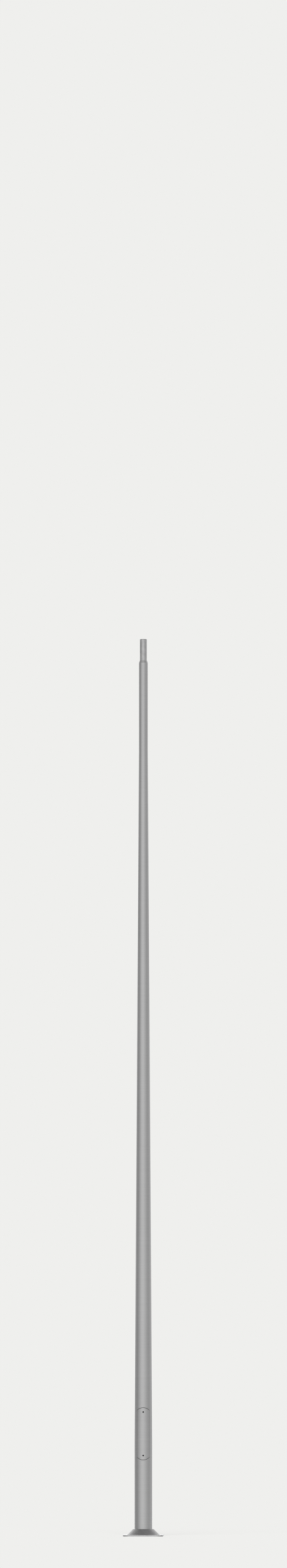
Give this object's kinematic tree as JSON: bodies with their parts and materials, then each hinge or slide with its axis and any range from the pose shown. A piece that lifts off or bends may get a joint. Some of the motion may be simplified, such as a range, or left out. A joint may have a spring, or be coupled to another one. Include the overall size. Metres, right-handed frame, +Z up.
{
  "type": "aluminium pole",
  "caption": "Tapered round aluminium pole on a square base plate with a conical foot collar, a flush service door low in the shaft and a plain spigot at the top.",
  "frame": {"origin": "centre of the base plate's underside, where it stands on its foundation", "axes": "+Z up along the shaft to the spigot, -Y out through the service door, +X to the right of somebody who faces the door"},
  "size_m": [0.345, 0.345, 7.704],
  "materials": {
    "satin_aluminium": "ground round the tube to a satin grey",
    "turned_aluminium": "turned and ground to a satin grey",
    "plate_aluminium": "pickled pale, with a bare cut rim",
    "collar_aluminium": "turned satin",
    "weld_aluminium": "weld bead",
    "mill_aluminium": "as rolled",
    "dark_aluminium": "black anodised",
    "black_steel": "black oxide",
    "stainless_steel": "plain stainless",
    "zinc_plated_steel": "zinc plated"
  },
  "bodies": {
    "pole": {"base_collar": "collar_aluminium", "base_plate": "plate_aluminium", "collar_foot_weld": "weld_aluminium", "collar_top_weld": "weld_aluminium", "door_frame": "dark_aluminium", "earth_nut": "stainless_steel", "earth_stud": "stainless_steel", "earth_washer": "stainless_steel", "equipment_rail": "zinc_plated_steel", "lower_lock_bar": "mill_aluminium", "lower_rail_bracket": "mill_aluminium", "rail_screws": "zinc_plated_steel", "shaft": "satin_aluminium", "spigot_weld": "weld_aluminium", "top_spigot": "turned_aluminium", "upper_lock_bar": "mill_aluminium", "upper_rail_bracket": "mill_aluminium"},
    "door": {"door": "satin_aluminium", "lower_lock_sleeve": "dark_aluminium", "upper_lock_sleeve": "dark_aluminium", "lower_lock_screw": "black_steel", "upper_lock_screw": "black_steel", "lower_screw_ring": "stainless_steel", "upper_screw_ring": "stainless_steel"}
  },
  "joints": [
    {"name": "door_lift", "type": "slide", "parent": "pole", "child": "door", "axis": [0, -1, 0], "range_m": [0, 0.2]}
  ]
}
